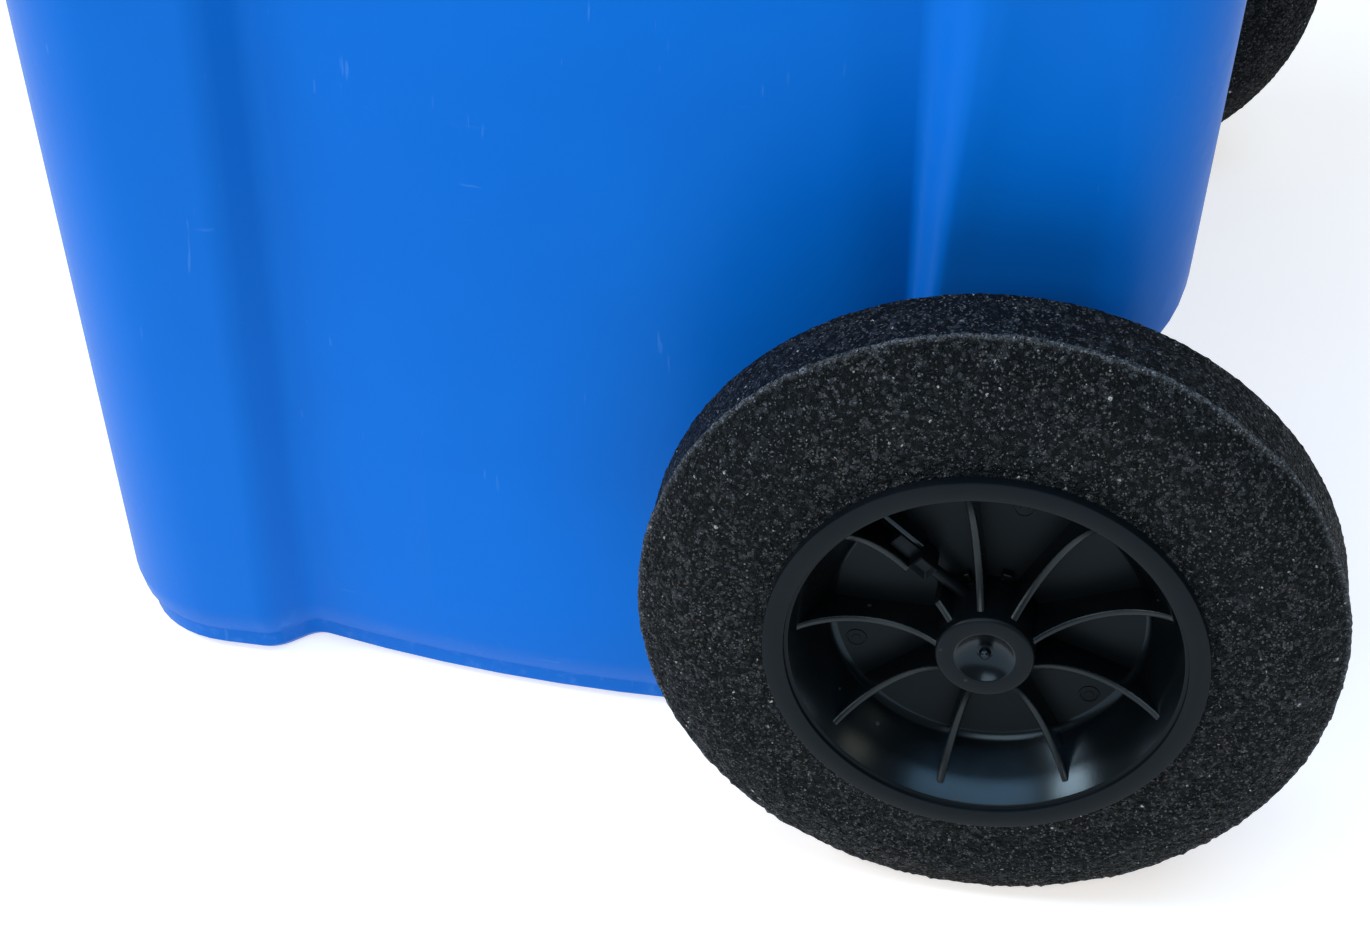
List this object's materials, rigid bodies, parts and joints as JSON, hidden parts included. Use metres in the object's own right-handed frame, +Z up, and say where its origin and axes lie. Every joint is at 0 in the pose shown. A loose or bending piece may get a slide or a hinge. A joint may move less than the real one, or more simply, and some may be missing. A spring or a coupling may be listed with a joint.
{
  "type": "wheelie bin",
  "caption": "Two-wheeled plastic refuse bin with a tapered tub, hinged lid, rear grips, steel axle and solid rubber tyres on ribbed push-on hubs.",
  "frame": {"origin": "on the ground, under the middle of the overall box", "axes": "+Z up, -Y to the front, X along the axle"},
  "size_m": [0.48, 0.55, 0.9383],
  "materials": {
    "blue_plastic": "satin moulded polyethylene",
    "black_plastic": "satin",
    "gloss_black": "glossy moulded polypropylene",
    "crumb_rubber": "bonded rubber granules",
    "zinc_steel": "zinc plated"
  },
  "bodies": {
    "tub": {"body": "blue_plastic", "hinge_pin_left": "blue_plastic", "hinge_pin_right": "blue_plastic", "spacer_sleeve_left": "black_plastic", "spacer_sleeve_right": "black_plastic"},
    "lid": {"lid": "blue_plastic"},
    "axle": {"axle": "zinc_steel"},
    "wheel_left": {"wheel_hub_left": "gloss_black", "tyre_left": "crumb_rubber"},
    "wheel_right": {"wheel_hub_right": "gloss_black", "tyre_right": "crumb_rubber"},
    "latch_left": {"axle_latch_left": "black_plastic"},
    "latch_right": {"axle_latch_right": "black_plastic"}
  },
  "joints": [
    {"name": "lid_hinge", "type": "hinge", "parent": "tub", "child": "lid", "pos_m": [0, 0.259, 0.885], "axis": [-1, 0, 0], "range_deg": [0, 270]},
    {"name": "axle_turn", "type": "hinge", "parent": "tub", "child": "axle", "pos_m": [0, 0.095, 0.1], "axis": [1, 0, 0], "continuous": true},
    {"name": "wheel_spin_left", "type": "hinge", "parent": "axle", "child": "wheel_left", "pos_m": [-0.23318, 0.095, 0.1], "axis": [1, 0, 0], "continuous": true},
    {"name": "wheel_spin_right", "type": "hinge", "parent": "axle", "child": "wheel_right", "pos_m": [0.23318, 0.095, 0.1], "axis": [1, 0, 0], "continuous": true},
    {"name": "latch_slide_left", "type": "slide", "parent": "wheel_left", "child": "latch_left", "axis": [0, 0.7716, 0.6361], "range_m": [0, 0.005], "stiffness_N_per_m": 400, "springref_m": -0.004},
    {"name": "latch_slide_right", "type": "slide", "parent": "wheel_right", "child": "latch_right", "axis": [0, -0.7716, 0.6361], "range_m": [0, 0.005], "stiffness_N_per_m": 400, "springref_m": -0.004}
  ]
}
